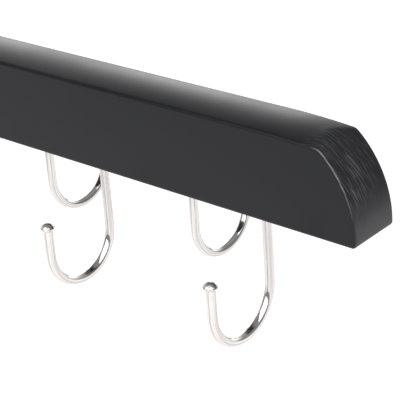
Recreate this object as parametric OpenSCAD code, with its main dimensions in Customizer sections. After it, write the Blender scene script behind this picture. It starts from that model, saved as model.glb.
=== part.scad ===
// Tie hanger: a crowned wooden bar on a swivelling rod hook, with two staggered rows of wire J-hooks
// under it.
// All sizes are in millimetres. +X runs along the bar, +Y points to the back, +Z is up.
// The origin is the rod seat: the inside top of the rod hook, where a wardrobe rod carries the hanger.

/* [Bar] */
// Length of the bar from end to end
bar_length = 463; // [430:1:520]
// Thickness of the bar from front face to back face
bar_thickness = 20; // [19:0.5:26]
// Height of the flat front and back faces
bar_side_height = 29.9; // [28:0.1:31]
// Rise of the crowned top above the upper edges of the faces
crown_rise = 1.6; // [1.2:0.1:2.6]

/* [Bar ends] */
// Distance from the end at which the crowned top starts to fall
end_fall_length = 36.5; // [32:0.5:42]
// Radius of the fall along the ridge
end_fall_radius = 278; // [240:2:320]
// Radius of the rounded face that closes each end
end_face_radius = 35.5; // [33:0.5:38]
// Height above the underside at which the end face stands upright
end_face_centre = 1.8; // [0.8:0.1:2.5]
// Radius that softens the shoulder between the fall and the end face
shoulder_radius = 8.5; // [6:0.5:10]
// Radius of the lower corner of each end
end_corner_radius = 1.5; // [1:0.1:2.5]

/* [Small hooks] */
// Distance between neighbouring hooks of one row
hook_pitch = 70; // [60:0.5:72]
// Distance of each row's middle hook from the swivel axis, along the bar
hook_centre_offset = 13.5; // [11:0.5:20]
// Distance of each row from the bar's middle plane
row_offset = 7; // [5:0.1:7.2]
// Diameter of the hook wire
hook_wire_d = 3.2; // [2.8:0.1:3.6]
// Straight length of the stem below the bar
hook_stem_length = 22; // [16:0.5:28]
// Radius of the bend, measured to the middle of the wire
hook_bend_radius = 14; // [11:0.5:18]
// Straight length of the tip leg above the bend
hook_tip_length = 9.5; // [5:0.5:12]
// Diameter of the button at the tip
hook_head_d = 4.7; // [4.2:0.1:5.2]
// Height of the taper under the button
hook_head_taper = 0.9; // [0.6:0.1:1.4]
// Height of the button's upright rim
hook_head_rim = 0.3; // [0.2:0.1:0.6]
// Height of the button's domed top
hook_head_dome = 1.4; // [1:0.1:1.8]
// Length of the shank driven into the bar
hook_shank_length = 16; // [14:0.5:20]
// Distance from one driving ring of the shank to the next
ring_pitch = 2; // [1.6:0.1:2.1]
// How far each driving ring stands out of the shank
ring_height = 0.2; // [0.1:0.05:0.3]

/* [Rod hook] */
// Diameter of the rod hook's wire
rod_wire_d = 4; // [3.6:0.1:4.4]
// Radius of the large bend, measured to the middle of the wire
rod_bend_radius = 24; // [22:0.5:26]
// Radius of the small bend between shank and large bend
neck_bend_radius = 12; // [10:0.5:15]
// Straight shank between the bar's top and the small bend
neck_length = 13; // [12:0.5:20]
// Angle by which the large bend runs on below the level of its middle
rod_tip_angle = 4; // [0:1:12]
// Diameter of the ball at the rod hook's tip
rod_tip_d = 5; // [4.8:0.1:6]
// Diameter of the stop bead on the shank
stop_bead_d = 6.4; // [5.8:0.1:7]
// Height of the stop bead
stop_bead_height = 1.2; // [1:0.1:1.6]

/* [Swivel] */
// Radial clearance of the shank in the ferrule and in the washer
swivel_clearance = 0.05; // [0.03:0.01:0.1]
// Radial gap between the shank and the wood
bore_gap = 0.4; // [0.3:0.05:0.6]
// Vertical play between turning and fixed pieces
swivel_play = 0.2; // [0.15:0.05:0.4]
// Diameter of the ferrule's flange
ferrule_flange_d = 12; // [11:0.5:13]
// Thickness of the ferrule's flange
ferrule_flange_height = 1.4; // [1:0.1:2]
// Diameter of the ferrule's neck at its foot
ferrule_neck_d = 8.4; // [8:0.1:9.4]
// Diameter of the ferrule's neck at its top
ferrule_top_d = 6.8; // [6.4:0.1:7.4]
// Height of the ferrule's neck above the flange
ferrule_neck_height = 4; // [3:0.5:6]
// Diameter of the ferrule's spigot in the bar
ferrule_spigot_d = 8; // [7:0.5:8.5]
// Length of the ferrule's spigot in the bar
ferrule_spigot_length = 6; // [4:0.5:9]
// Depth of the flat seat cut into the crown for the ferrule
seat_depth = 0.9; // [0.8:0.1:1.4]
// Radial gap between the ferrule's flange and the rim of its seat
flange_gap = 0.2; // [0.1:0.05:0.4]
// Diameter of the counterbore under the bar
counterbore_d = 11; // [10.5:0.5:12]
// Depth of the counterbore under the bar
counterbore_depth = 10; // [9.5:0.5:13]
// Diameter of the thrust washer
washer_d = 10; // [9:0.5:10.2]
// Thickness of the thrust washer
washer_height = 1; // [0.8:0.1:1.4]
// Width of the lock nut across its flats
nut_width = 7; // [6.6:0.1:7.4]
// Height of the lock nut
nut_height = 3.2; // [2.8:0.1:4]
// Length of the shank that stands out below the nut
shank_end_length = 1; // [0.5:0.1:1.4]
// Thickness of the plug that closes the counterbore
plug_height = 2.5; // [2:0.1:3]
// Overlap of each pressed-in piece with its hole, on the radius
press_overlap = 0.03; // [0.02:0.01:0.06]

/* [Hidden] */
$fn = 96;

hooks_per_row = 6;
middle_hook = hooks_per_row / 2; // the hook of each row that stands nearest the swivel
ring_count = floor(hook_shank_length / ring_pitch) - 2;
first_ring = 1.5; // ring pitches from the shank's upper end down to the foot of the first ring
hole_end_gap = 0.5; // free depth above each small hook's shank
nut_sides = 6;
cut_margin = 1; // extra length that carries a cut clear of a face
arc_poke = 0.01; // how far a softening arc stands out of its neighbours, so that they cross cleanly
joint_swell = 0.02; // how far the ball in each joint of two bends stands out of the wire

black_paint = [0.06, 0.06, 0.065];
plated_wire = [0.8, 0.79, 0.77];
zinc = [0.62, 0.63, 0.64];

hook_r = hook_wire_d / 2;
rod_r = rod_wire_d / 2;
bar_height = bar_side_height + crown_rise;
half_thickness = bar_thickness / 2;
half_length = bar_length / 2;
crown_radius = (half_thickness * half_thickness + crown_rise * crown_rise) / (2 * crown_rise);

// The small bend and the large bend meet where their common tangent leans by neck_angle
neck_angle = acos(neck_bend_radius / (neck_bend_radius + rod_bend_radius));
bend_centre_rise = (neck_bend_radius + rod_bend_radius) * sin(neck_angle);

// Heights, counted down from the rod seat at Z = 0
bend_centre_z = rod_r - rod_bend_radius;
neck_z = bend_centre_z - bend_centre_rise;
bar_top = neck_z - neck_length;
bar_bottom = bar_top - bar_height;
seat_z = bar_top - seat_depth;
ferrule_flange_top = seat_z + ferrule_flange_height;
ferrule_top = ferrule_flange_top + ferrule_neck_height;
bead_bottom = ferrule_top + swivel_play;
counterbore_top = bar_bottom + counterbore_depth;
washer_bottom = counterbore_top - washer_height;
nut_top = washer_bottom - swivel_play;
nut_bottom = nut_top - nut_height;
shank_bottom = nut_bottom - shank_end_length;
hook_bend_z = bar_bottom - hook_stem_length;

// Centres of the arcs that shape one end, seen from the front: [X, height above the underside]
fall_centre = [half_length - end_fall_length, bar_height - end_fall_radius];
face_centre = [half_length - end_face_radius, end_face_centre];

fall_sweep = asin((end_fall_length + cut_margin) / (end_fall_radius - bar_height));

// The shoulder arc lies inside both the fall and the end face
fall_reach = end_fall_radius - shoulder_radius + arc_poke;
face_reach = end_face_radius - shoulder_radius + arc_poke;
centre_step = face_centre - fall_centre;
centre_gap = norm(centre_step);
step_along = centre_step / centre_gap;
step_across = [step_along[1], -step_along[0]];
reach_along = ((pow(fall_reach, 2) - pow(face_reach, 2)) / centre_gap + centre_gap) / 2;
reach_across = sqrt(fall_reach * fall_reach - reach_along * reach_along);
shoulder_centre = fall_centre + reach_along * step_along + reach_across * step_across;

// The lower corner's arc lies inside both the end face and the underside
corner_reach = end_face_radius - end_corner_radius + arc_poke;
corner_height = end_corner_radius - arc_poke;
corner_drop = corner_height - end_face_centre;
corner_advance = sqrt(corner_reach * corner_reach - corner_drop * corner_drop);
corner_centre = [face_centre[0] + corner_advance, corner_height];

// Each hook's place along the bar: the rear row is the front row turned half round about the swivel
function front_x(i) = (middle_hook - i) * hook_pitch - hook_centre_offset;
function rear_x(i) = -front_x(i);

// Angle of the line from one point to another
function bearing(from, to) = atan2(to[1] - from[1], to[0] - from[0]);

// What lies outside an arc, in the wedge between two of its radii
module outside_arc(centre, radius, start_angle, end_angle) {
    reach = 2 * radius;
    middle_angle = (start_angle + end_angle) / 2;
    translate(centre)
        difference() {
            polygon([[0, 0],
                reach * [cos(start_angle), sin(start_angle)],
                reach * [cos(middle_angle), sin(middle_angle)],
                reach * [cos(end_angle), sin(end_angle)]]);
            circle(r = radius);
        }
}

// A full-height stretch of the bar from its left end to a given X
module full_stretch(to_x) {
    translate([-half_length - cut_margin, 0])
        square([to_x + half_length + cut_margin, bar_height + cut_margin]);
}

// The bar seen from the front, with only the face, shoulder and lower corner of its right end shaped
module right_end_view() {
    difference() {
        intersection() {
            full_stretch(half_length);
            union() {
                full_stretch(face_centre[0]);
                translate(face_centre)
                    circle(r = end_face_radius);
            }
        }
        outside_arc(shoulder_centre, shoulder_radius,
            bearing(face_centre, shoulder_centre),
            bearing(fall_centre, shoulder_centre));
        outside_arc(corner_centre, end_corner_radius, -90, bearing(face_centre, corner_centre));
    }
}

// The crowned bar seen along its length, with a margin on its sides and underside that bar_blank cuts off
module cross_section(margin) {
    width = bar_thickness + 2 * margin;
    intersection() {
        translate([-width / 2, -margin])
            square([width, bar_height + margin + cut_margin]);
        translate([0, bar_height - crown_radius])
            circle(r = crown_radius);
    }
}

// The crowned bar where it falls towards its right end: the cross-section turned about the fall's centre.
// It starts as far inside the straight stretch, and stands out of its sides, so that the two are one solid.
module right_fall() {
    translate([fall_centre[0], 0, fall_centre[1]])
        rotate([90, 0, 0])
            rotate([0, 0, 90 - fall_sweep])
                rotate_extrude(angle = 2 * fall_sweep)
                    translate([end_fall_radius - bar_height, 0])
                        rotate(-90)
                            cross_section(2 * cut_margin);
}

module bar_blank() {
    intersection() {
        rotate([90, 0, 0])
            linear_extrude(height = bar_thickness, center = true)
                intersection() {
                    right_end_view();
                    mirror([1, 0])
                        right_end_view();
                }
        union() {
            rotate([90, 0, 90])
                linear_extrude(height = 2 * fall_centre[0], center = true)
                    cross_section(cut_margin);
            right_fall();
            mirror([1, 0, 0])
                right_fall();
        }
    }
}

// Blind hole for one small hook's shank
module shank_hole(x, y) {
    translate([x, y, bar_bottom - cut_margin])
        cylinder(r = hook_r - press_overlap, h = hook_shank_length + hole_end_gap + cut_margin);
}

module bar() {
    color(black_paint)
        difference() {
            translate([0, 0, bar_bottom])
                bar_blank();
            for (i = [0 : hooks_per_row - 1]) {
                shank_hole(front_x(i), -row_offset);
                shank_hole(rear_x(i), row_offset);
            }
            translate([0, 0, bar_bottom - cut_margin])
                cylinder(r = rod_r + bore_gap, h = bar_height + 2 * cut_margin);
            translate([0, 0, bar_bottom - cut_margin])
                cylinder(r = counterbore_d / 2, h = counterbore_depth + cut_margin);
            translate([0, 0, seat_z - ferrule_spigot_length])
                cylinder(r = ferrule_spigot_d / 2 - press_overlap, h = ferrule_spigot_length + cut_margin);
            translate([0, 0, seat_z])
                cylinder(r = ferrule_flange_d / 2 + flange_gap, h = seat_depth + cut_margin);
        }
}

// Button at a small hook's tip, standing on Z = 0
module hook_head() {
    head_r = hook_head_d / 2;
    dome_radius = (head_r * head_r + hook_head_dome * hook_head_dome) / (2 * hook_head_dome);
    rim_top = hook_head_taper + hook_head_rim;
    cylinder(r1 = hook_r, r2 = head_r, h = hook_head_taper);
    translate([0, 0, hook_head_taper])
        cylinder(r = head_r, h = hook_head_rim);
    intersection() {
        translate([0, 0, rim_top])
            cylinder(r = head_r, h = hook_head_dome + cut_margin);
        translate([0, 0, rim_top + hook_head_dome - dome_radius])
            sphere(r = dome_radius);
    }
}

// One small hook with its stem at Y = 0, curling towards -Y
module small_hook() {
    color(plated_wire) {
        translate([0, 0, hook_bend_z])
            cylinder(r = hook_r, h = hook_stem_length + hook_shank_length);
        for (i = [0 : ring_count - 1])
            translate([0, 0, bar_bottom + hook_shank_length - (i + first_ring) * ring_pitch])
                cylinder(r1 = hook_r + ring_height, r2 = hook_r - ring_height, h = ring_pitch / 2);
        translate([0, -hook_bend_radius, hook_bend_z])
            rotate([-90, 0, 90])
                rotate_extrude(angle = 180)
                    translate([hook_bend_radius, 0])
                        circle(r = hook_r);
        translate([0, -2 * hook_bend_radius, hook_bend_z])
            cylinder(r = hook_r, h = hook_tip_length);
        translate([0, -2 * hook_bend_radius, hook_bend_z + hook_tip_length])
            hook_head();
    }
}

module front_hook(i) {
    translate([front_x(i), -row_offset, 0])
        small_hook();
}

module rear_hook(i) {
    rotate([0, 0, 180])
        front_hook(i);
}

module front_hook_1() { front_hook(0); }
module front_hook_2() { front_hook(1); }
module front_hook_3() { front_hook(2); }
module front_hook_4() { front_hook(3); }
module front_hook_5() { front_hook(4); }
module front_hook_6() { front_hook(5); }
module rear_hook_1() { rear_hook(0); }
module rear_hook_2() { rear_hook(1); }
module rear_hook_3() { rear_hook(2); }
module rear_hook_4() { rear_hook(3); }
module rear_hook_5() { rear_hook(4); }
module rear_hook_6() { rear_hook(5); }

// A bend of the rod hook's wire in the XZ plane
module rod_bend(centre_x, centre_z, radius, start_angle, turn) {
    translate([centre_x, 0, centre_z])
        rotate([90, 0, 0])
            rotate([0, 0, start_angle])
                rotate_extrude(angle = turn)
                    translate([radius, 0])
                        circle(r = rod_r);
}

// A ball on the large bend's middle line, at an angle from +X
module bend_ball(angle, radius) {
    translate([rod_bend_radius * cos(angle), 0, bend_centre_z + rod_bend_radius * sin(angle)])
        sphere(r = radius);
}

module hanger_hook() {
    tip_bearing = 180 + rod_tip_angle;
    color(plated_wire) {
        translate([0, 0, shank_bottom])
            cylinder(r = rod_r, h = neck_z - shank_bottom);
        translate([0, 0, bead_bottom])
            cylinder(r = stop_bead_d / 2, h = stop_bead_height);
        translate([0, 0, neck_z])
            sphere(r = rod_r + joint_swell);
        rod_bend(neck_bend_radius, neck_z, neck_bend_radius, 180 - neck_angle, neck_angle);
        bend_ball(-neck_angle, rod_r + joint_swell);
        rod_bend(0, bend_centre_z, rod_bend_radius, -neck_angle, neck_angle + tip_bearing);
        bend_ball(tip_bearing, rod_tip_d / 2);
    }
}

module swivel_ferrule() {
    ferrule_bottom = seat_z - ferrule_spigot_length;
    color(plated_wire)
        difference() {
            union() {
                translate([0, 0, ferrule_bottom])
                    cylinder(r = ferrule_spigot_d / 2, h = ferrule_spigot_length);
                translate([0, 0, seat_z])
                    cylinder(r = ferrule_flange_d / 2, h = ferrule_flange_height);
                translate([0, 0, ferrule_flange_top])
                    cylinder(r1 = ferrule_neck_d / 2, r2 = ferrule_top_d / 2, h = ferrule_neck_height);
            }
            translate([0, 0, ferrule_bottom - cut_margin])
                cylinder(r = rod_r + swivel_clearance, h = ferrule_top - ferrule_bottom + 2 * cut_margin);
        }
}

module thrust_washer() {
    color(zinc)
        translate([0, 0, washer_bottom])
            difference() {
                cylinder(r = washer_d / 2, h = washer_height);
                translate([0, 0, -cut_margin])
                    cylinder(r = rod_r + swivel_clearance, h = washer_height + 2 * cut_margin);
            }
}

module lock_nut() {
    color(zinc)
        translate([0, 0, nut_bottom])
            difference() {
                cylinder(r = nut_width / (2 * cos(180 / nut_sides)), h = nut_height, $fn = nut_sides);
                translate([0, 0, -cut_margin])
                    cylinder(r = rod_r - press_overlap, h = nut_height + 2 * cut_margin);
            }
}

module bore_plug() {
    color(black_paint)
        translate([0, 0, bar_bottom])
            cylinder(r = counterbore_d / 2 + press_overlap, h = plug_height);
}

bar();
front_hook_1();
front_hook_2();
front_hook_3();
front_hook_4();
front_hook_5();
front_hook_6();
rear_hook_1();
rear_hook_2();
rear_hook_3();
rear_hook_4();
rear_hook_5();
rear_hook_6();
hanger_hook();
swivel_ferrule();
thrust_washer();
lock_nut();
bore_plug();
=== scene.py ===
import math

import bmesh
import bpy
import numpy as np
from mathutils import Matrix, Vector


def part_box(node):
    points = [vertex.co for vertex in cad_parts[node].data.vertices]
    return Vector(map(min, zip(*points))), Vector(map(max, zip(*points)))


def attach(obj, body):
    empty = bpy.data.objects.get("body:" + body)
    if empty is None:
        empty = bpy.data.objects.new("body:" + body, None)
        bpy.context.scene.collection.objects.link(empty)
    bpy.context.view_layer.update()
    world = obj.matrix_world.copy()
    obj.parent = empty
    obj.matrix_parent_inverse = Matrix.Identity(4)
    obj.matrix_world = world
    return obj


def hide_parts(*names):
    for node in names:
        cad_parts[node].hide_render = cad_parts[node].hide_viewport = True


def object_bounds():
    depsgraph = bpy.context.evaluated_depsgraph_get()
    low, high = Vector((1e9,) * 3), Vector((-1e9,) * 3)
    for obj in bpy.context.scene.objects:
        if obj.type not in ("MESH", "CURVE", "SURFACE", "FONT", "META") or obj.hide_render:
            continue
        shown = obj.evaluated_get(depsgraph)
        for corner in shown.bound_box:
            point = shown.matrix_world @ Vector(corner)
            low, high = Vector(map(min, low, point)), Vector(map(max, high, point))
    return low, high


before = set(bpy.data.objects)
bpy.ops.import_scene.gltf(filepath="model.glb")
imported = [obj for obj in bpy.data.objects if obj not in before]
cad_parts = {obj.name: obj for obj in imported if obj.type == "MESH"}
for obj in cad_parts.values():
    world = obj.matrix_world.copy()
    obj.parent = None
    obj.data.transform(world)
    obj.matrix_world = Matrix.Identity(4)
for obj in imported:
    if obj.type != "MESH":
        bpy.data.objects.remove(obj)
cad_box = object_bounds()

MM = 0.001

# Bar
CROWN_RISE = 1.6 * MM
END_FALL_LENGTH = 36.5 * MM
END_FALL_RADIUS = 278.0 * MM
END_FACE_RADIUS = 35.5 * MM
END_FACE_CENTRE = 1.8 * MM
SHOULDER_RADIUS = 8.5 * MM
CORNER_RADIUS = 1.5 * MM
EDGE_RADIUS = 0.8 * MM
RIDGE_BLEND = 0.6 * MM

# Small hooks
HOOK_WIRE_RADIUS = 1.6 * MM
HOOK_BEND_RADIUS = 14.0 * MM
HOOK_SHANK_LENGTH = 16.0 * MM
HOOK_STEM_LENGTH = 22.0 * MM
HOOK_TIP_LENGTH = 9.5 * MM
HOOK_END_CHAMFER = 0.3 * MM
RING_PITCH = 2.0 * MM
RING_HEIGHT = 0.2 * MM
RING_STEP = 0.02 * MM
FIRST_RING = 1.5
RING_COUNT = 6

# Buttons on the small hooks' tips
BUTTON_RADIUS = 2.35 * MM
BUTTON_TAPER = 0.9 * MM
BUTTON_RIM = 0.3 * MM
BUTTON_DOME = 1.4 * MM
BUTTON_CREASE = 0.15 * MM
BUTTON_ROUNDINGS = (0.5 * MM, 0.25 * MM, 0.0, 0.1 * MM)

# Rod hook
ROD_WIRE_RADIUS = 2.0 * MM
ROD_BEND_RADIUS = 24.0 * MM
NECK_BEND_RADIUS = 12.0 * MM
ROD_TIP_ANGLE = math.radians(4.0)
ROD_TIP_RADIUS = 2.5 * MM
ROD_END_ROUNDING = 0.4 * MM
BEAD_RADIUS = 3.2 * MM
BEAD_HEIGHT = 1.2 * MM
BEAD_ROUNDINGS = (0.0, 0.35 * MM, 0.35 * MM, 0.25 * MM)

# Swivel
SWIVEL_PLAY = 0.2 * MM
SWIVEL_CLEARANCE = 0.05 * MM
BORE_GAP = 0.4 * MM
FLANGE_RADIUS = 6.0 * MM
FLANGE_HEIGHT = 1.4 * MM
FLANGE_GAP = 0.2 * MM
FERRULE_NECK_RADIUS = 4.2 * MM
FERRULE_TOP_RADIUS = 3.4 * MM
FERRULE_NECK_HEIGHT = 4.0 * MM
FERRULE_ROUNDINGS = (0.2 * MM, 0.4 * MM, 0.5 * MM, 0.45 * MM, 0.2 * MM, 0.0, 0.3 * MM)
SPIGOT_RADIUS = 4.0 * MM
SPIGOT_LENGTH = 6.0 * MM
SEAT_DEPTH = 0.9 * MM
COUNTERBORE_RADIUS = 5.5 * MM
COUNTERBORE_DEPTH = 10.0 * MM
HAIRLINE = 0.06 * MM
HOLE_CHAMFER = 0.3 * MM
HOLE_SPARE_DEPTH = 0.5 * MM
CUT_MARGIN = 2.0 * MM

# Meshes: points closer than this become one, and sharper edges than this stay sharp
MERGE_DISTANCE = 1e-7
SHARP_ANGLE = math.radians(40)

# Photograph's camera: where it aims, how far away it stands, its way round from -Y, its height and its roll
AIM = (175.19 * MM, -10.0 * MM, -101.75 * MM)
CAMERA_DISTANCE = 432.1 * MM
CAMERA_AZIMUTH = math.radians(41.949)
CAMERA_ELEVATION = math.radians(25.877)
CAMERA_ROLL = math.radians(-3.783)
CAMERA_LENS = 118.505
CAMERA_SENSOR = 36.0

# Floor, in metres: its glow is a painted pool of light that fades between two distances, with painted shade
# towards the left front
FLOOR_DROP = 200.0 * MM
FLOOR_HALF_WIDTH = 12.0
FLOOR_PAINTED_GLOW = 0.44
FLOOR_PAINTED_GLOW_FADE = (1.2, 5.0)
FLOOR_PAINTED_SHADE_WAY = (-0.7071, -0.7071, 0.0)
FLOOR_PAINTED_SHADE_FADE = (0.1, 0.9)

# Surroundings: an even base, and a glow round one azimuth from +X that fades with height
WORLD_BASE = 0.30
BACK_GLOW = 1.9
BACK_GLOW_AZIMUTH = math.radians(127)
BACK_GLOW_HEIGHTS = (math.radians(10), math.radians(44))
BACK_GLOW_SIDES = (0.25, 0.85)

# Softbox in front, in metres, with its azimuth from +X
SOFTBOX_AZIMUTH = math.radians(-70)
SOFTBOX_ELEVATION = math.radians(40)
SOFTBOX_DISTANCE = 2.5
SOFTBOX_WIDTH = 6.2
SOFTBOX_HEIGHT = 2.7
SOFTBOX_RADIANCE = 1.9

# Colours
PAINT_DEEP = (0.0037, 0.0039, 0.0064, 1)
PAINT_PALE = (0.0047, 0.0049, 0.0078, 1)
# Painted reflection: a lighter grey that stands in for reflected light on the lower part of the bar's ends
PAINTED_SHEEN_GREY = (0.030, 0.028, 0.033, 1)
PAINT_SCUFF = (0.13, 0.131, 0.134, 1)
# Painted highlight: a thin light line along the edges of the bar's ends
PAINTED_EDGE_HIGHLIGHT = (0.20, 0.20, 0.205, 1)
PLATING_BRIGHT = (0.83, 0.79, 0.76, 1)
PLATING_HAZED = (0.77, 0.735, 0.71, 1)
# Painted reflection: darker bands along the wires
PLATING_PAINTED_REFLECTION = (0.55, 0.53, 0.52, 1)
BUTTON_DULL = (0.66, 0.63, 0.60, 1)
# Painted dark reflection: a dark line round the top of each small hook's button
BUTTON_PAINTED_REFLECTION = (0.12, 0.11, 0.105, 1)
ZINC_PALE = (0.55, 0.56, 0.58, 1)
ZINC_DARK = (0.44, 0.45, 0.46, 1)
FLOOR_COLOUR = (0.85, 0.85, 0.85, 1)
BLACK = (0.0, 0.0, 0.0, 1)
WHITE = (1.0, 1.0, 1.0, 1)

(BAR_LEFT, BAR_FRONT, BAR_BOTTOM), (BAR_RIGHT, BAR_BACK, BAR_TOP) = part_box("bar")
HALF_LENGTH = (BAR_RIGHT - BAR_LEFT) / 2
HALF_THICKNESS = (BAR_BACK - BAR_FRONT) / 2
BAR_HEIGHT = BAR_TOP - BAR_BOTTOM
CROWN_RADIUS = (HALF_THICKNESS**2 + CROWN_RISE**2) / (2 * CROWN_RISE)


def new_object(name, data):
    """An object at the origin that holds the data."""
    made = bpy.data.objects.new(name, data)
    bpy.context.scene.collection.objects.link(made)
    return made


def surface(name, points, along, across):
    """A mesh over a grid of points [row, column, xyz], whose columns close on themselves.

    Face (i, j) joins the points (i, j), (i+1, j), (i+1, j+1) and (i, j+1). Points that coincide, as at a
    pole, become one. The UV map gives each corner its row's value in along and its column's value in across,
    in metres."""
    rows, columns = points.shape[:2]
    row = np.arange(rows - 1)[:, None, None] + [0, 1, 1, 0]
    column = np.arange(columns)[None, :, None] + [0, 0, 1, 1]
    row, column = np.broadcast_arrays(row, column)
    corners = row * columns + column % columns
    mesh = bpy.data.meshes.new(name)
    mesh.vertices.add(rows * columns)
    mesh.vertices.foreach_set("co", points.astype(np.float32).ravel())
    mesh.loops.add(corners.size)
    mesh.loops.foreach_set("vertex_index", corners.astype(np.int32).ravel())
    mesh.polygons.add(corners.size // 4)
    mesh.polygons.foreach_set("loop_start", np.arange(0, corners.size, 4, dtype=np.int32))
    mesh.update(calc_edges=True)
    uv = np.stack([along[row], across[column]], axis=-1)
    mesh.uv_layers.new(name="surface").data.foreach_set("uv", uv.astype(np.float32).ravel())
    mend(mesh)
    mesh.shade_smooth()
    return mesh


def mend(mesh):
    """Joins points that coincide and drops the faces that this leaves without area."""
    work = bmesh.new()
    work.from_mesh(mesh)
    bmesh.ops.remove_doubles(work, verts=work.verts, dist=MERGE_DISTANCE)
    bmesh.ops.dissolve_degenerate(work, edges=work.edges, dist=MERGE_DISTANCE)
    work.to_mesh(mesh)
    work.free()


def path_lengths(line):
    """Each point's distance from the line's start, measured along the line."""
    return np.concatenate([[0], np.cumsum(np.linalg.norm(np.diff(line, axis=0), axis=1))])


def rounded(corners, radii, steps=6):
    """A polyline with its inner corners rounded.

    At a corner with radius r the arc touches both sides at r / tan(half the corner's angle) from it, and its
    centre lies on the bisector. A radius of 0 keeps the corner."""
    corners = np.asarray(corners, float)
    line = [corners[:1]]
    for before, corner, after, radius in zip(corners, corners[1:], corners[2:], radii):
        if radius == 0:
            line.append(corner[None])
            continue
        back = (before - corner) / np.linalg.norm(before - corner)
        on = (after - corner) / np.linalg.norm(after - corner)
        half = math.acos(np.clip(back @ on, -1, 1)) / 2
        bisector = (back + on) / np.linalg.norm(back + on)
        centre = corner + bisector * radius / math.sin(half)
        reach = radius / math.tan(half)
        start = np.arctan2(*(corner + back * reach - centre)[::-1])
        stop = np.arctan2(*(corner + on * reach - centre)[::-1])
        turn = (stop - start + math.pi) % (2 * math.pi) - math.pi
        angle = start + turn * np.linspace(0, 1, steps + 1)
        line.append(centre + radius * np.stack([np.cos(angle), np.sin(angle)], axis=-1))
    line.append(corners[-1:])
    return np.concatenate(line)


def turned(name, profile, centre=(0.0, 0.0), segments=96):
    """A profile of (radius, height) points carried once round a vertical axis at centre.

    The point at radius r, height z and angle a is centre + (r cos a, r sin a), z. The profile runs with the
    outside on its left, so that the faces point outwards."""
    radius, height = profile[:, 0], profile[:, 1]
    angle = np.linspace(0, 2 * math.pi, segments, endpoint=False)
    points = np.empty((len(profile), segments, 3))
    points[..., 0] = centre[0] + radius[:, None] * np.cos(angle)
    points[..., 1] = centre[1] + radius[:, None] * np.sin(angle)
    points[..., 2] = height[:, None]
    across = np.linspace(0, 1, segments + 1) * 2 * math.pi * radius.max()
    return surface(name, points, path_lengths(profile), across)


def chain(distance, start, heading, stretches):
    """Points and headings at each distance along a chain of straight and round stretches in a plane.

    A stretch is (length, curvature). Its heading turns by curvature times distance, and its point is its
    start plus the chord of that turn: length sin(turn / 2) / (turn / 2), in the direction of the mean
    heading."""
    point = np.tile(np.asarray(start, float), (len(distance), 1))
    angle = np.full(len(distance), float(heading))
    left = np.array(distance, float)
    for number, (length, curvature) in enumerate(stretches):
        last = number == len(stretches) - 1
        part = np.maximum(left, 0) if last else np.clip(left, 0, length)
        turn = curvature * part
        chord = part * np.sinc(turn / (2 * math.pi))
        point += chord[:, None] * np.stack([np.cos(angle + turn / 2), np.sin(angle + turn / 2)], axis=-1)
        angle += turn
        left -= length
    return point, angle


def wire(name, profile, start, heading, stretches, origin, out, up, segments=40):
    """A profile of (distance, radius) points carried along a bent wire.

    The wire's middle line is the chain of stretches, in the plane through origin with the directions out and
    up. The point at distance s and angle a lies at radius r from the middle line, at angle a from the
    plane."""
    distance, radius = profile[:, 0], profile[:, 1]
    line, angle = chain(distance, start, heading, stretches)
    out, up = np.asarray(out, float), np.asarray(up, float)
    side = np.cross(out, up)
    centre = np.asarray(origin, float) + line[:, :1] * out + line[:, 1:] * up
    left = -np.sin(angle)[:, None] * out + np.cos(angle)[:, None] * up
    turn = np.linspace(0, 2 * math.pi, segments, endpoint=False)[None, :, None]
    points = centre[:, None] + radius[:, None, None] * (np.cos(turn) * left[:, None] + np.sin(turn) * side)
    across = np.linspace(0, 1, segments + 1) * 2 * math.pi * radius.max()
    return surface(name, points, path_lengths(profile), across)


def plain_wire(radius, *stretches):
    """(distance, radius) points of even wire. A stretch is (start, stop, steps), and holds its start but not
    its stop."""
    distance = np.concatenate([np.linspace(start, stop, steps, endpoint=False)
                               for start, stop, steps in stretches])
    return np.stack([distance, np.full_like(distance, radius)], axis=-1)


def arc(centre, radius, start, stop, steps):
    """Points and outward directions along an arc, without its last point."""
    angle = np.linspace(start, stop, steps, endpoint=False)
    outward = np.stack([np.cos(angle), np.sin(angle)], axis=-1)
    return np.asarray(centre) + radius * outward, outward


def bearing(start, stop):
    """Angle of the line from start to stop."""
    return math.atan2(stop[1] - start[1], stop[0] - start[0])


def end_centres():
    """Centres of the four arcs that shape the right end, as (x, height above the underside).

    The shoulder touches the fall and the face from inside, so its centre lies at their radii less its own
    from their centres. The corner touches the face and the underside."""
    fall = np.array([HALF_LENGTH - END_FALL_LENGTH, BAR_HEIGHT - END_FALL_RADIUS])
    face = np.array([HALF_LENGTH - END_FACE_RADIUS, END_FACE_CENTRE])
    step = face - fall
    gap = np.linalg.norm(step)
    step /= gap
    fall_reach = END_FALL_RADIUS - SHOULDER_RADIUS
    face_reach = END_FACE_RADIUS - SHOULDER_RADIUS
    along = ((fall_reach**2 - face_reach**2) / gap + gap) / 2
    across = math.sqrt(fall_reach**2 - along**2)
    shoulder = fall + along * step + across * np.array([step[1], -step[0]])
    corner_reach = END_FACE_RADIUS - CORNER_RADIUS
    corner_drop = CORNER_RADIUS - END_FACE_CENTRE
    corner = np.array([face[0] + math.sqrt(corner_reach**2 - corner_drop**2), CORNER_RADIUS])
    return fall, face, shoulder, corner


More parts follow.
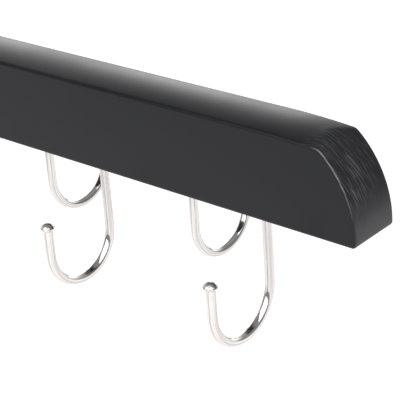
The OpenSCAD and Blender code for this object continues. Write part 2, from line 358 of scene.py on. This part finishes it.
def bar_outline():
    """The bar's side view as stations from its right end to its left end.

    Each station has a point and an outward direction on the upper outline (end face, shoulder, fall, top),
    and another pair on the lower outline (corner, underside). Both outlines start and end half way round the
    lower corners. The left half is the right half's mirror image."""
    fall, face, shoulder, corner = end_centres()
    foot = -math.pi / 4
    on_face, on_shoulder = bearing(face, corner), bearing(face, shoulder)
    on_fall = bearing(fall, shoulder)
    stretches = [arc(corner, CORNER_RADIUS, foot, on_face, 6),
                 arc(face, END_FACE_RADIUS, on_face, on_shoulder, 40),
                 arc(shoulder, SHOULDER_RADIUS, on_shoulder, on_fall, 24),
                 arc(fall, END_FALL_RADIUS, on_fall, math.pi / 2, 40)]
    top = np.linspace(fall[0], 0, 30)
    stretches.append((np.stack([top, np.full_like(top, fall[1] + END_FALL_RADIUS)], axis=-1),
                      np.tile([0.0, 1.0], (len(top), 1))))
    upper = np.concatenate([points for points, _ in stretches])
    upper_out = np.concatenate([outward for _, outward in stretches])

    low_corner, low_out = arc(corner, CORNER_RADIUS, foot, -math.pi / 2, 6)
    rest = upper[len(low_corner):]
    run = path_lengths(rest)
    share = (run / run[-1] + 1 - rest[:, 0] / rest[0, 0]) / 2
    underside = np.stack([corner[0] * (1 - share), np.zeros_like(share)], axis=-1)
    lower = np.concatenate([low_corner, underside])
    lower_out = np.concatenate([low_out, np.tile([0.0, -1.0], (len(rest), 1))])
    halves = (upper, upper_out, lower, lower_out)
    return [np.concatenate([half, half[-2::-1] * [-1, 1]]) for half in halves]


def crown_depth(upper, outward, y):
    """How far the crown lies below the upper outline at each station and each y, along the outline's normal.

    Along the top and the fall the crown is the outline's own circle with its radius F less by the drop
    R - sqrt(R^2 - y^2). From w off the circle's centre, the way inward along the normal n to the radius q is
    w.n - sqrt((w.n)^2 - w.w + q^2). Where this way is below zero, on the shoulder and the end face, the
    outline itself is the surface. Between -k and k the two are blended by (way + k)^2 / 4k, with k no more
    than F - |w|."""
    fall = end_centres()[0]
    centre_x = np.clip(upper[:, 0], -fall[0], fall[0])
    off = upper - np.stack([centre_x, np.full(len(upper), fall[1])], axis=-1)
    inner = END_FALL_RADIUS - (CROWN_RADIUS - np.sqrt(CROWN_RADIUS**2 - y**2))
    normal = np.sum(off * outward, axis=-1)[:, None]
    apart = np.linalg.norm(off, axis=-1)[:, None]
    way = normal - np.sqrt(normal**2 - apart**2 + inner[None, :] ** 2)
    blend = np.clip(END_FALL_RADIUS - apart, 1e-9, RIDGE_BLEND)
    return np.where(way > blend, way, np.maximum(way + blend, 0) ** 2 / (4 * blend))


def bar_mesh():
    """The painted bar.

    At each station a closed loop runs across the underside, up the front face, across the crown and down the
    back. An edge turns through a quarter circle: inset r (1 - cos a), way across r sin a. The crown lies
    crown_depth inside the upper outline."""
    upper, upper_out, lower, lower_out = bar_outline()
    flat_half = HALF_THICKNESS - EDGE_RADIUS
    quarter = np.linspace(0, math.pi / 2, 7)
    edge_y = flat_half + EDGE_RADIUS * np.sin(quarter)
    edge_inset = EDGE_RADIUS * (1 - np.cos(quarter))
    face = np.array([0.004, 0.02, 0.08, 0.25, 0.5, 0.75, 0.92, 0.98, 0.996])
    face_y = np.full(len(face), HALF_THICKNESS)
    face_inset = np.full(len(face), EDGE_RADIUS)
    crown_y = flat_half * np.linspace(-1, 1, 33)[1:-1]
    under_y = flat_half * np.linspace(-1, 1, 9)[1:-1]

    # Columns of the loop: y, inset from the outline, and share of the upper outline
    y = np.concatenate([-edge_y, -face_y, -edge_y[::-1], crown_y,
                        edge_y, face_y, edge_y[::-1], under_y[::-1]])
    inset = np.concatenate([edge_inset, face_inset, edge_inset[::-1], 0 * crown_y,
                            edge_inset, face_inset, edge_inset[::-1], 0 * under_y])
    share = np.concatenate([0 * quarter, face, 0 * quarter + 1, 0 * crown_y + 1,
                            0 * quarter + 1, face[::-1], 0 * quarter, 0 * under_y])

    depth = inset[None, :] + crown_depth(upper, upper_out, y)
    top = upper[:, None] - depth[..., None] * upper_out[:, None]
    bottom = lower[:, None] - inset[None, :, None] * lower_out[:, None]
    side_view = bottom + share[None, :, None] * (top - bottom)
    points = np.empty((*side_view.shape[:2], 3))
    points[..., 0] = side_view[..., 0]
    points[..., 1] = y
    points[..., 2] = side_view[..., 1] + BAR_BOTTOM
    run = path_lengths(upper)
    return surface("painted_bar", points, run - run[-1] / 2, np.append(y, y[0]))


def cut(target, cutters):
    """Cuts the meshes in cutters out of the target and keeps the result."""
    holes = []
    for number, mesh in enumerate(cutters):
        hole = new_object(f"{target.name}_cutter_{number}", mesh)
        holes.append(hole)
        step = target.modifiers.new("cut", "BOOLEAN")
        step.operation = "DIFFERENCE"
        step.solver = "EXACT"
        step.object = hole
    bpy.context.view_layer.update()
    done = bpy.data.meshes.new_from_object(target.evaluated_get(bpy.context.evaluated_depsgraph_get()))
    target.modifiers.clear()
    target.data = done
    for hole in holes:
        bpy.data.meshes.remove(hole.data)


def hook_places():
    """Each small hook's node, its stem's (x, y), and the way that it curls: -1 to the front, 1 to the back.
    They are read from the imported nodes' boxes."""
    places = []
    for node in sorted(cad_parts):
        if not node.startswith(("front_hook", "rear_hook")):
            continue
        lo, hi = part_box(node)
        way = -1 if node.startswith("front") else 1
        stem_y = (hi[1] - RING_HEIGHT if way < 0 else lo[1] + RING_HEIGHT) + way * HOOK_WIRE_RADIUS
        places.append((node, ((lo[0] + hi[0]) / 2, stem_y), way))
    return places


def small_hook_profile():
    """(distance, radius) points along a small hook, from its end in the wood to the top of its button.

    The shank's driving rings rise in a quarter of their pitch and fall back at once. The button widens in a
    cone, has an upright rim, and ends in a dome of the radius (R^2 + h^2) / 2h, where R is the button's
    radius and h is the dome's height."""
    radius = HOOK_WIRE_RADIUS
    shank = [(0.0, 0.0), (0.0, radius - HOOK_END_CHAMFER), (HOOK_END_CHAMFER, radius)]
    for ring in range(RING_COUNT):
        crest = (ring + FIRST_RING) * RING_PITCH
        shank += [(crest - RING_PITCH / 4, radius), (crest - RING_STEP, radius + RING_HEIGHT),
                  (crest, radius)]
    bend_start = HOOK_SHANK_LENGTH + HOOK_STEM_LENGTH
    bend_stop = bend_start + math.pi * HOOK_BEND_RADIUS
    head = bend_stop + HOOK_TIP_LENGTH
    neck = head - 0.4 * MM
    plain = plain_wire(radius, (HOOK_SHANK_LENGTH - 2 * MM, bend_start, 12), (bend_start, bend_stop, 72),
                       (bend_stop, neck, 8))
    rim = head + BUTTON_TAPER + BUTTON_RIM
    dome_radius = (BUTTON_RADIUS**2 + BUTTON_DOME**2) / (2 * BUTTON_DOME)
    angle = np.linspace(math.asin(BUTTON_RADIUS / dome_radius), 0, 14)
    dome = np.stack([rim + BUTTON_DOME - dome_radius * (1 - np.cos(angle)), dome_radius * np.sin(angle)],
                    axis=-1)
    button = rounded([(neck, radius), (head, radius), (head + BUTTON_TAPER, BUTTON_RADIUS),
                      (rim - 0.2 * MM, BUTTON_RADIUS), (rim, BUTTON_RADIUS), dome[1]],
                     BUTTON_ROUNDINGS, steps=5)
    return np.concatenate([np.array(shank), plain, button[:-1], dome[1:]])


def small_hook(name, place, way):
    """One small hook of bent wire, with its stem at place. It curls to the front (way -1) or the back
    (way 1)."""
    start = (0.0, BAR_BOTTOM + HOOK_SHANK_LENGTH)
    stretches = [(HOOK_SHANK_LENGTH + HOOK_STEM_LENGTH, 0.0),
                 (math.pi * HOOK_BEND_RADIUS, 1 / HOOK_BEND_RADIUS),
                 (HOOK_TIP_LENGTH, 0.0)]
    return wire(name, small_hook_profile(), start, -math.pi / 2, stretches,
                (place[0], place[1], 0.0), (0.0, way, 0.0), (0.0, 0.0, 1.0))


def rod_hook(name):
    """The rod hook: shank with its stop bead, small bend, large bend, and the ball at its tip.

    The small bend turns one way by a and the large bend back by a, half a turn and the tip's angle. With
    cos a = small radius / (small + large radius), the large bend's centre lies on the swivel axis. The ball
    is an arc of radius r: at the angle b its point is r cos b before the wire's end and r sin b out."""
    shank_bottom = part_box("hanger_hook")[0][2]
    neck_angle = math.acos(NECK_BEND_RADIUS / (NECK_BEND_RADIUS + ROD_BEND_RADIUS))
    bend_centre = ROD_WIRE_RADIUS - ROD_BEND_RADIUS
    neck_height = bend_centre - (NECK_BEND_RADIUS + ROD_BEND_RADIUS) * math.sin(neck_angle)
    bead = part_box("swivel_ferrule")[1][2] + SWIVEL_PLAY - shank_bottom
    bead_top = bead + BEAD_HEIGHT
    shank = neck_height - shank_bottom
    small = neck_angle * NECK_BEND_RADIUS
    large = (neck_angle + math.pi + ROD_TIP_ANGLE) * ROD_BEND_RADIUS
    end = shank + small + large
    foot = rounded([(0.0, 0.0), (0.0, ROD_WIRE_RADIUS), (2 * MM, ROD_WIRE_RADIUS)], (ROD_END_ROUNDING,))
    collar = rounded([(bead - 1 * MM, ROD_WIRE_RADIUS), (bead, ROD_WIRE_RADIUS), (bead, BEAD_RADIUS),
                      (bead_top, BEAD_RADIUS), (bead_top, ROD_WIRE_RADIUS),
                      (bead_top + 1 * MM, ROD_WIRE_RADIUS)], BEAD_ROUNDINGS)
    plain = plain_wire(ROD_WIRE_RADIUS, (bead_top + 2 * MM, shank, 6), (shank, shank + small, 24),
                       (shank + small, end - 3 * MM, 120))
    angle = np.linspace(math.asin(ROD_WIRE_RADIUS / ROD_TIP_RADIUS), math.pi, 20)
    ball = np.stack([end - ROD_TIP_RADIUS * np.cos(angle), ROD_TIP_RADIUS * np.sin(angle)], axis=-1)
    profile = np.concatenate([foot, collar, plain, ball])
    stretches = [(shank, 0.0), (small, -1 / NECK_BEND_RADIUS), (large, 1 / ROD_BEND_RADIUS),
                 (ROD_TIP_RADIUS, 0.0)]
    return wire(name, profile, (0.0, shank_bottom), math.pi / 2, stretches,
                (0.0, 0.0, 0.0), (1.0, 0.0, 0.0), (0.0, 0.0, 1.0), segments=48)


def ferrule(name):
    """The turned ferrule: neck, flange and spigot, bored for the shank."""
    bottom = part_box("swivel_ferrule")[0][2]
    seat = bottom + SPIGOT_LENGTH
    flange = seat + FLANGE_HEIGHT
    top = flange + FERRULE_NECK_HEIGHT
    bore = ROD_WIRE_RADIUS + SWIVEL_CLEARANCE
    profile = rounded([(bore, bottom), (bore, top), (FERRULE_TOP_RADIUS, top), (FERRULE_NECK_RADIUS, flange),
                       (FLANGE_RADIUS, flange), (FLANGE_RADIUS, seat), (SPIGOT_RADIUS, seat),
                       (SPIGOT_RADIUS, bottom), (bore, bottom)], FERRULE_ROUNDINGS)
    return turned(name, profile)


def bore_cutter():
    """The stepped bore through the bar's middle: seat, spigot hole, shank hole and counterbore."""
    seat = BAR_TOP - SEAT_DEPTH
    over, under = BAR_TOP + CUT_MARGIN, BAR_BOTTOM - CUT_MARGIN
    wide = FLANGE_RADIUS + FLANGE_GAP
    plug = COUNTERBORE_RADIUS + HAIRLINE
    shank = ROD_WIRE_RADIUS + BORE_GAP
    counterbore_top = BAR_BOTTOM + COUNTERBORE_DEPTH
    profile = np.array([(0.0, over), (wide, over), (wide, seat), (SPIGOT_RADIUS, seat),
                        (SPIGOT_RADIUS, seat - SPIGOT_LENGTH), (shank, seat - SPIGOT_LENGTH),
                        (shank, counterbore_top), (plug, counterbore_top), (plug, under), (0.0, under)])
    return turned("bore_cutter", profile)


def shank_hole_cutter(place):
    """A small hook's hole, with a chamfer at its mouth."""
    hole = HOOK_WIRE_RADIUS + HAIRLINE
    mouth = hole + HOLE_CHAMFER
    depth = BAR_BOTTOM + HOOK_SHANK_LENGTH + HOLE_SPARE_DEPTH
    under = BAR_BOTTOM - CUT_MARGIN / 2
    profile = np.array([(0.0, depth), (hole, depth), (hole, BAR_BOTTOM + HOLE_CHAMFER),
                        (mouth, BAR_BOTTOM), (mouth, under), (0.0, under)])
    return turned("shank_hole_cutter", profile, centre=place, segments=48)


class Nodes:
    """A node tree with short calls to add nodes and links."""

    def __init__(self, tree):
        self.tree = tree

    def feed(self, node, values):
        """Gives a node's inputs their values: a socket of another node is linked."""
        for key, value in values.items():
            if isinstance(value, bpy.types.NodeSocket):
                self.tree.links.new(value, node.inputs[key])
            else:
                node.inputs[key].default_value = value

    def add(self, kind, values=None, **settings):
        """A node of the kind, with its settings and the values of its inputs."""
        node = self.tree.nodes.new(kind)
        for name, value in settings.items():
            setattr(node, name, value)
        self.feed(node, values or {})
        return node

    def effect(self, tree, **values):
        """A group placed with its own values: its result."""
        return self.add("ShaderNodeGroup", values, node_tree=tree).outputs[0]

    def mask(self, name):
        """A mask that is stored on the mesh's points."""
        return self.add("ShaderNodeAttribute", attribute_name=name).outputs["Fac"]

    def math(self, operation, *values):
        """A Math node's result."""
        return self.add("ShaderNodeMath", dict(enumerate(values)), operation=operation).outputs[0]

    def vector(self, operation, first, second, result=0):
        """A Vector Math node's result."""
        return self.add("ShaderNodeVectorMath", {0: first, 1: second}, operation=operation).outputs[result]

    def range(self, value, low, high, to_low=0.0, to_high=1.0, kind="SMOOTHSTEP"):
        """A value mapped from one range to another."""
        values = {"Value": value, "From Min": low, "From Max": high, "To Min": to_low, "To Max": to_high}
        return self.add("ShaderNodeMapRange", values, interpolation_type=kind).outputs[0]

    def between(self, mask, low, high):
        """A value that goes straight from low to high as the mask goes from 0 to 1."""
        return self.range(mask, 0.0, 1.0, low, high, "LINEAR")

    def mix(self, factor, first, second):
        """A colour between two colours."""
        return self.add("ShaderNodeMix", {0: factor, 6: first, 7: second}, data_type="RGBA").outputs[2]

    def noise(self, place, detail, roughness):
        """A noise with cells of unit size."""
        values = {"Vector": place, "Scale": 1.0, "Detail": detail, "Roughness": roughness}
        return self.add("ShaderNodeTexNoise", values).outputs["Fac"]


def group(name, sockets):
    """A new shader node group. sockets are (name, "in" or "out", kind, default)."""
    tree = bpy.data.node_groups.new(name, "ShaderNodeTree")
    for label, way, kind, default in sockets:
        socket = tree.interface.new_socket(name=label, in_out="INPUT" if way == "in" else "OUTPUT",
                                           socket_type=f"NodeSocket{kind}")
        if default is not None:
            socket.default_value = default
    made = Nodes(tree)
    return made, made.add("NodeGroupInput").outputs, made.add("NodeGroupOutput")


def streaks_group():
    """Fine streaks that run along the vector's X. Along and Across are their length and width in metres, and
    Slant is how far they drift towards -Y for each metre along X."""
    made, given, out = group("fine_streaks", [
        ("Vector", "in", "Vector", None), ("Along", "in", "Float", 20 * MM),
        ("Across", "in", "Float", 0.4 * MM), ("Slant", "in", "Float", 0.0),
        ("Streaks", "out", "Float", None)])
    x, y, z = made.add("ShaderNodeSeparateXYZ", {0: given["Vector"]}).outputs
    drifted = made.math("ADD", y, made.math("MULTIPLY", x, given["Slant"]))
    stretched = made.add("ShaderNodeCombineXYZ", {0: made.math("DIVIDE", x, given["Along"]),
                                                  1: made.math("DIVIDE", drifted, given["Across"]),
                                                  2: made.math("DIVIDE", z, given["Across"])}).outputs[0]
    made.feed(out, {"Streaks": made.noise(stretched, 3.0, 0.6)})
    return made.tree


def haze_group():
    """Soft clouds from 0 to 1, for handling marks, dents and patches of painted reflection. Size is a cloud's
    size in metres.
    """
    made, given, out = group("handling_haze", [
        ("Vector", "in", "Vector", None), ("Size", "in", "Float", 20 * MM), ("Haze", "out", "Float", None)])
    scaled = made.add("ShaderNodeVectorMath", {0: given["Vector"]}, operation="SCALE")
    made.feed(scaled, {"Scale": made.math("DIVIDE", 1.0, given["Size"])})
    made.feed(out, {"Haze": made.range(made.noise(scaled.outputs[0], 4.0, 0.55), 0.3, 0.7)})
    return made.tree


def material(name):
    """A new material with its node tree and Principled shader, and its places on the object and on the UV
    map."""
    made = bpy.data.materials.new(name)
    made.use_nodes = True
    made.node_tree.nodes.clear()
    nodes = Nodes(made.node_tree)
    shader = nodes.add("ShaderNodeBsdfPrincipled")
    nodes.add("ShaderNodeOutputMaterial", {"Surface": shader.outputs[0]})
    place = nodes.add("ShaderNodeTexCoord").outputs
    return made, nodes, shader, place["Object"], place["UV"]


def black_paint(streaks, haze):
    """Black satin paint on wood, with a faint grain along the bar. At the bar's ends there are sanding
    streaks under the paint, a lighter painted reflection low down, and a thin painted highlight along the
    edges."""
    made, nodes, shader, place, along = material("black_paint")
    clouds = nodes.effect(haze, Vector=place, Size=30 * MM)
    patches = nodes.effect(haze, Vector=place, Size=7 * MM)
    grain = nodes.effect(streaks, Vector=place, Along=30 * MM, Across=0.9 * MM)
    sanding = nodes.effect(streaks, Vector=along, Along=8 * MM, Across=0.4 * MM, Slant=0.2)
    dull = nodes.mask("end_dull")

    # Painted reflection: patches of lighter grey on the lower part of the ends stand in for reflected light
    painted_sheen = nodes.math("MULTIPLY", nodes.mask("end_painted_sheen"), nodes.between(patches, 0.75, 1.0))
    scuffs = nodes.math("MULTIPLY", nodes.range(sanding, 0.46, 0.68), nodes.between(patches, 0.15, 1.0))
    scuffs = nodes.math("MULTIPLY", nodes.math("ADD", scuffs, 0.02), nodes.mask("end_wear"))
    # Painted highlight: a thin light line along the ends' front and back edges
    painted_highlight = nodes.math("MULTIPLY", nodes.range(sanding, 0.3, 0.6, 0.4, 1.0), nodes.mask("edge_painted_highlight"))
    colour = nodes.mix(clouds, PAINT_DEEP, PAINT_PALE)
    colour = nodes.mix(painted_sheen, colour, PAINTED_SHEEN_GREY)
    colour = nodes.mix(scuffs, colour, PAINT_SCUFF)
    colour = nodes.mix(painted_highlight, colour, PAINTED_EDGE_HIGHLIGHT)

    rough = nodes.math("ADD", nodes.between(clouds, 0.30, 0.36), nodes.math("MULTIPLY", dull, 0.3))
    relief = nodes.math("MULTIPLY", nodes.math("MULTIPLY", sanding, dull), 2.0)
    relief = nodes.math("ADD", relief, nodes.math("MULTIPLY", grain, 0.25))
    bump = nodes.add("ShaderNodeBump", {"Strength": 0.25, "Distance": 0.04 * MM, "Height": relief})
    nodes.feed(shader, {"Base Color": colour, "Roughness": rough, "Specular IOR Level": 0.3,
                        "Normal": bump.outputs[0]})
    return made


def plated_wire(streaks, haze):
    """Bright nickel plating on drawn wire: fine lines, broader darker bands along the wire that are painted
    reflection, and a soft haze.
    The tops of the small hooks' buttons are dented and duller, with a painted dark reflection in a line round
    them."""
    made, nodes, shader, place, along = material("plated_wire")
    clouds = nodes.effect(haze, Vector=place, Size=4 * MM)
    dents = nodes.effect(haze, Vector=place, Size=1.2 * MM)
    drawn = nodes.effect(streaks, Vector=along, Along=20 * MM, Across=0.2 * MM)
    painted_bands = nodes.effect(streaks, Vector=along, Along=50 * MM, Across=0.9 * MM)
    top, painted_dark_line = nodes.mask("button_top"), nodes.mask("button_painted_reflection")

    colour = nodes.mix(clouds, PLATING_BRIGHT, PLATING_HAZED)
    # Painted reflection: darker bands along the wire
    colour = nodes.mix(nodes.range(painted_bands, 0.40, 0.60), colour, PLATING_PAINTED_REFLECTION)
    colour = nodes.mix(nodes.math("MULTIPLY", top, 0.5), colour, BUTTON_DULL)
    # Painted dark reflection: a dark line round the button's top
    colour = nodes.mix(nodes.math("MULTIPLY", painted_dark_line, 0.75), colour, BUTTON_PAINTED_REFLECTION)

    rough = nodes.math("ADD", nodes.between(clouds, 0.08, 0.15), nodes.math("MULTIPLY", top, 0.08))
    relief = nodes.math("MULTIPLY", nodes.math("MULTIPLY", dents, top), 30.0)
    relief = nodes.math("ADD", drawn, relief)
    bump = nodes.add("ShaderNodeBump", {"Strength": 0.2, "Distance": 0.02 * MM, "Height": relief})
    nodes.feed(shader, {"Base Color": colour, "Metallic": 1.0, "Roughness": rough,
                        "Normal": bump.outputs[0]})
    return made


def zinc(streaks, haze):
    """Dull zinc plating with turning lines."""
    made, nodes, shader, place, _ = material("zinc")
    clouds = nodes.effect(haze, Vector=place, Size=2 * MM)
    lines = nodes.effect(streaks, Vector=place, Along=4 * MM, Across=0.2 * MM)
    nodes.feed(shader, {"Base Color": nodes.mix(clouds, ZINC_PALE, ZINC_DARK), "Metallic": 1.0,
                        "Roughness": nodes.range(lines, 0.3, 0.7, 0.3, 0.5, "LINEAR")})
    return made


def ramp(value, zero, one):
    """0 at zero and 1 at one, with a straight ramp between."""
    return np.clip((value - zero) / (one - zero), 0, 1)


def point_places(mesh):
    """The x, y and z of the mesh's points."""
    where = np.empty(len(mesh.vertices) * 3, np.float32)
    mesh.vertices.foreach_get("co", where)
    return where.reshape(-1, 3).T


def store_masks(mesh, masks):
    """Stores each mask's values on the mesh's points, under its name."""
    for name, values in masks.items():
        mesh.attributes.new(name, "FLOAT", "POINT").data.foreach_set("value", values.astype(np.float32))


def mark_button(mesh, place):
    """Stores two masks on a small hook's points, for those that lie on the tip's side of the bend.

    button_top is 1 on the domed top of its button and 0 below it. The second mask, a painted dark reflection,
    is 1 on the edge between the top and the rim, and falls to 0 over BUTTON_CREASE. Both are straight ramps
    in height."""
    _, y, z = point_places(mesh)
    on_tip = np.abs(y - place[1]) > HOOK_BEND_RADIUS - BUTTON_RADIUS
    over_rim = z - (BAR_BOTTOM - HOOK_STEM_LENGTH + HOOK_TIP_LENGTH + BUTTON_TAPER + BUTTON_RIM)
    store_masks(mesh, {"button_top": ramp(over_rim, 0, BUTTON_CREASE) * on_tip,
                       # Painted dark reflection on the edge round the button's top
                       "button_painted_reflection": ramp(np.abs(over_rim), BUTTON_CREASE, 0) * on_tip})


def mark_ends(mesh):
    """Stores four masks on the bar's points, each from 0 to 1.

    end_dull is where the paint has lost its gloss towards an end, end_wear is sanding on the end's upper
    part, the third is a painted reflection that lightens its lower part, and the fourth is a thin painted
    highlight along its front and back edges. They are products of straight ramps in a point's height, in its
    distance from the bar's end, in its way towards the front of that end, and in its way across the edge's
    rounding."""
    x, y, z = point_places(mesh)
    height = z - BAR_BOTTOM
    from_end = HALF_LENGTH - np.abs(x)
    to_front = -y * np.sign(x)
    over_edge = (np.abs(y) - HALF_THICKNESS + EDGE_RADIUS) / EDGE_RADIUS
    flat = ramp(over_edge, 0.9, 0.3)
    more_in_front = 0.3 + 0.7 * ramp(to_front, -8 * MM, 1 * MM)
    thin_line = ramp(over_edge, 0.26, 0.5) * ramp(over_edge, 0.87, 0.6)
    store_masks(mesh, {
        "end_dull": ramp(height, 7 * MM, 14 * MM) * ramp(from_end, 30 * MM, 14 * MM) * flat,
        "end_wear": (ramp(height, 9 * MM, 16 * MM) * ramp(from_end, 20 * MM, 12 * MM) * flat
                     * more_in_front),
        # Painted reflection: lighter on the lower part of the end
        "end_painted_sheen": ramp(height, 17 * MM, 5 * MM) * ramp(from_end, 9 * MM, 6 * MM) * flat,
        # Painted highlight along the end's edges
        "edge_painted_highlight": ramp(height, 9 * MM, 18 * MM) * ramp(from_end, 16 * MM, 12 * MM) * thin_line})


def floor():
    """A wide pale floor well below the hanger. Its glow is a painted pool of light around the middle and
    behind, with painted shade towards the left front, and it is clear from below."""
    half, z = FLOOR_HALF_WIDTH, cad_box[0][2] - FLOOR_DROP
    mesh = bpy.data.meshes.new("floor")
    corners = [(-half, -half, z), (half, -half, z), (half, half, z), (-half, half, z)]
    mesh.from_pydata(corners, [], [(0, 1, 2, 3)])
    made, nodes, shader, place, _ = material("pale_floor")
    flat = nodes.vector("MULTIPLY", place, (1.0, 1.0, 0.0))
    radius = nodes.add("ShaderNodeVectorMath", {0: flat}, operation="LENGTH").outputs["Value"]
    toward_painted_shade = nodes.vector("DOT_PRODUCT", place, FLOOR_PAINTED_SHADE_WAY, "Value")
    # Painted light: a pool of glow that fades outwards, and painted shade towards the left front
    painted_light = nodes.math("MULTIPLY", nodes.range(radius, *FLOOR_PAINTED_GLOW_FADE, 1.0, 0.0),
                     nodes.range(toward_painted_shade, *FLOOR_PAINTED_SHADE_FADE, 1.0, 0.0))
    below = nodes.add("ShaderNodeNewGeometry").outputs["Backfacing"]
    nodes.feed(shader, {"Emission Color": nodes.mix(painted_light, BLACK, WHITE), "Emission Strength": FLOOR_PAINTED_GLOW,
                        "Alpha": nodes.math("SUBTRACT", 1.0, below), "Base Color": FLOOR_COLOUR,
                        "Roughness": 0.9, "Specular IOR Level": 0.0})
    mesh.materials.append(made)
    new_object("floor", mesh)


def surroundings():
    """Soft studio light: dim overhead and in front, and a broad pale glow low behind the hanger."""
    world = bpy.data.worlds.new("studio")
    bpy.context.scene.world = world
    world.use_nodes = True
    world.node_tree.nodes.clear()
    nodes = Nodes(world.node_tree)
    way = nodes.add("ShaderNodeTexCoord").outputs["Generated"]
    height = nodes.add("ShaderNodeSeparateXYZ", {0: way}).outputs[2]
    back = (math.cos(BACK_GLOW_AZIMUTH), math.sin(BACK_GLOW_AZIMUTH), 0.0)
    toward = nodes.vector("DOT_PRODUCT", way, back, "Value")
    low, high = [math.sin(angle) for angle in BACK_GLOW_HEIGHTS]
    glow = nodes.math("MULTIPLY", nodes.range(height, low, high, 1.0, 0.0),
                      nodes.range(toward, *BACK_GLOW_SIDES))
    level = nodes.math("MULTIPLY_ADD", glow, BACK_GLOW, WORLD_BASE)
    light = nodes.add("ShaderNodeBackground", {"Color": WHITE, "Strength": level})
    nodes.add("ShaderNodeOutputWorld", {"Surface": light.outputs[0]})


def set_up(name, data, right, up, back, place):
    """A camera or lamp at place, with its own X, Y and Z along right, up and back."""
    made = new_object(name, data)
    axes = np.stack([right, up, back, place], axis=-1)
    made.matrix_world = Matrix([*axes.tolist(), (0, 0, 0, 1)])
    return made


def front_softbox():
    """A rectangular area light that faces the hanger's right half. The camera doesn't see it."""
    data = bpy.data.lights.new("front_softbox", "AREA")
    data.shape = "RECTANGLE"
    data.size, data.size_y = SOFTBOX_WIDTH, SOFTBOX_HEIGHT
    data.energy = SOFTBOX_RADIANCE * math.pi * SOFTBOX_WIDTH * SOFTBOX_HEIGHT
    azimuth, elevation = SOFTBOX_AZIMUTH, SOFTBOX_ELEVATION
    away = np.array([math.cos(azimuth) * math.cos(elevation), math.sin(azimuth) * math.cos(elevation),
                     math.sin(elevation)])
    right = np.array([-math.sin(azimuth), math.cos(azimuth), 0.0])
    place = np.asarray(AIM) + away * SOFTBOX_DISTANCE
    made = set_up("front_softbox", data, right, np.cross(away, right), away, place)
    made.visible_camera = False


def photo_camera():
    """The camera at the photograph's place: it aims at AIM from its azimuth, elevation and distance, and is
    rolled about its line of sight."""
    data = bpy.data.cameras.new("camera")
    data.sensor_width = CAMERA_SENSOR
    data.lens = CAMERA_LENS
    data.clip_start, data.clip_end = 0.01, 100.0
    azimuth, elevation, roll = CAMERA_AZIMUTH, CAMERA_ELEVATION, CAMERA_ROLL
    back = np.array([math.sin(azimuth) * math.cos(elevation), -math.cos(azimuth) * math.cos(elevation),
                     math.sin(elevation)])
    level = np.array([math.cos(azimuth), math.sin(azimuth), 0.0])
    upright = np.cross(back, level)
    right = level * math.cos(roll) + upright * math.sin(roll)
    up = upright * math.cos(roll) - level * math.sin(roll)
    place = np.asarray(AIM) + back * CAMERA_DISTANCE
    bpy.context.scene.camera = set_up("camera", data, right, up, back, place)


photo_camera()
floor()
surroundings()
front_softbox()

streaks, haze = streaks_group(), haze_group()
paint, plating, dull_zinc = black_paint(streaks, haze), plated_wire(streaks, haze), zinc(streaks, haze)

hooks = hook_places()
bar = new_object("painted_bar", bar_mesh())
cut(bar, [bore_cutter()] + [shank_hole_cutter(place) for _, place, _ in hooks])
bar.data.set_sharp_from_angle(angle=SHARP_ANGLE)
mark_ends(bar.data)
bar.data.materials.clear()
bar.data.materials.append(paint)
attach(bar, "rack")
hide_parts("bar")

for node, place, way in hooks:
    piece = new_object(f"{node}_wire", small_hook(f"{node}_wire", place, way))
    mark_button(piece.data, place)
    piece.data.materials.append(plating)
    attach(piece, "rack")
    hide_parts(node)

hanger = new_object("rod_hook_wire", rod_hook("rod_hook_wire"))
collar = new_object("turned_ferrule", ferrule("turned_ferrule"))
for piece, node, body in ((hanger, "hanger_hook", "rod_hook"), (collar, "swivel_ferrule", "rack")):
    piece.data.materials.append(plating)
    piece.data.set_sharp_from_angle(angle=SHARP_ANGLE)
    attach(piece, body)
    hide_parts(node)

for node, finish in (("thrust_washer", dull_zinc), ("lock_nut", dull_zinc), ("bore_plug", paint)):
    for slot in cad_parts[node].material_slots:
        slot.material = finish

bpy.context.scene.view_settings.view_transform = "Standard"
